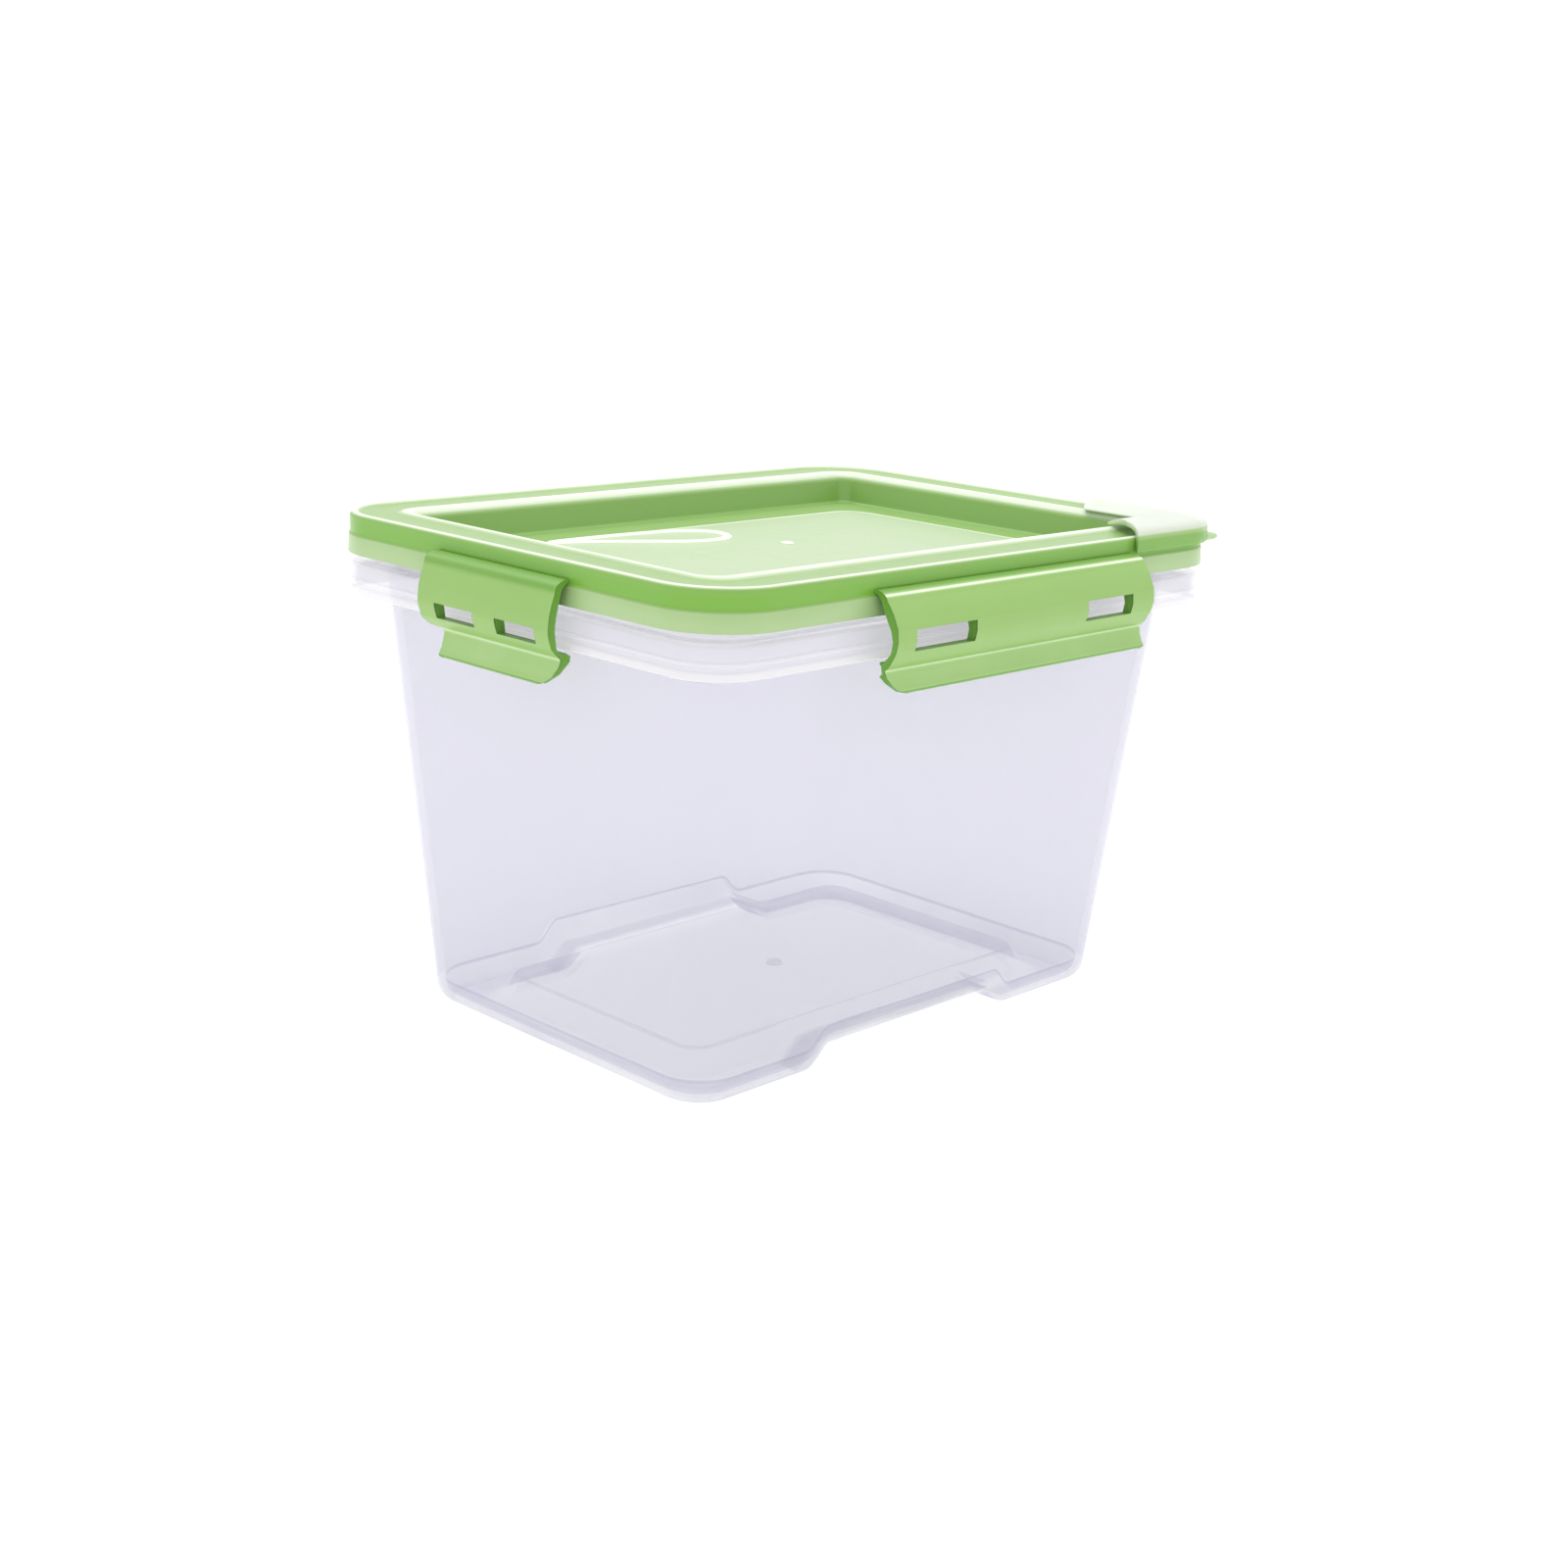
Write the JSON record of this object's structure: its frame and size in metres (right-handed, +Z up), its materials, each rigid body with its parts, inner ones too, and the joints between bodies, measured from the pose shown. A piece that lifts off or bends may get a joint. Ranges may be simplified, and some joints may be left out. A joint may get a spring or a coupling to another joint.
{
  "type": "snap lid food container",
  "caption": "Tapered translucent food tub with a recessed green lid, a seal under its rim, swinging side latches and a press-on cap over one rim corner.",
  "frame": {"origin": "centre of the base, on the plane the feet stand on", "axes": "+X along the long side, +Y towards the back, +Z up"},
  "size_m": [0.2452, 0.1932, 0.1591],
  "materials": {
    "tub": "translucent natural polypropylene, faintly frosted",
    "lid": "translucent green polypropylene, satin gloss",
    "latch": "translucent green polypropylene, satin gloss",
    "cap": "translucent green polypropylene, gloss",
    "seal": "soft translucent silicone"
  },
  "bodies": {
    "tub": {"container_body": "tub"},
    "lid": {"lid": "lid", "lid_seal": "seal"},
    "front_latch": {"front_latch": "latch"},
    "back_latch": {"back_latch": "latch"},
    "left_latch": {"left_latch": "latch"},
    "right_latch": {"right_latch": "latch"},
    "corner_cap": {"corner_vent_cap": "cap"}
  },
  "joints": [
    {"name": "lid_lift", "type": "slide", "parent": "tub", "child": "lid", "axis": [0, 0, 1], "range_m": [0, 0.025]},
    {"name": "front_latch_swing", "type": "hinge", "parent": "lid", "child": "front_latch", "pos_m": [0.00365, -0.0877, 0.1503], "axis": [-1, 0, 0], "range_deg": [0, 110]},
    {"name": "back_latch_swing", "type": "hinge", "parent": "lid", "child": "back_latch", "pos_m": [-0.00365, 0.0877, 0.1503], "axis": [1, 0, 0], "range_deg": [0, 110]},
    {"name": "left_latch_swing", "type": "hinge", "parent": "lid", "child": "left_latch", "pos_m": [-0.116, -0.0015, 0.1503], "axis": [0, 1, 0], "range_deg": [0, 110]},
    {"name": "right_latch_swing", "type": "hinge", "parent": "lid", "child": "right_latch", "pos_m": [0.116, 0.0015, 0.1503], "axis": [0, -1, 0], "range_deg": [0, 110]},
    {"name": "corner_cap_pull", "type": "slide", "parent": "lid", "child": "corner_cap", "axis": [0, 0, 1], "range_m": [0, 0.02]}
  ],
  "couplings": [
    {"joint": "front_latch_swing", "follows": "lid_lift", "rad_per_m": 76.7},
    {"joint": "back_latch_swing", "follows": "lid_lift", "rad_per_m": 76.7},
    {"joint": "left_latch_swing", "follows": "lid_lift", "rad_per_m": 76.7},
    {"joint": "right_latch_swing", "follows": "lid_lift", "rad_per_m": 76.7}
  ]
}
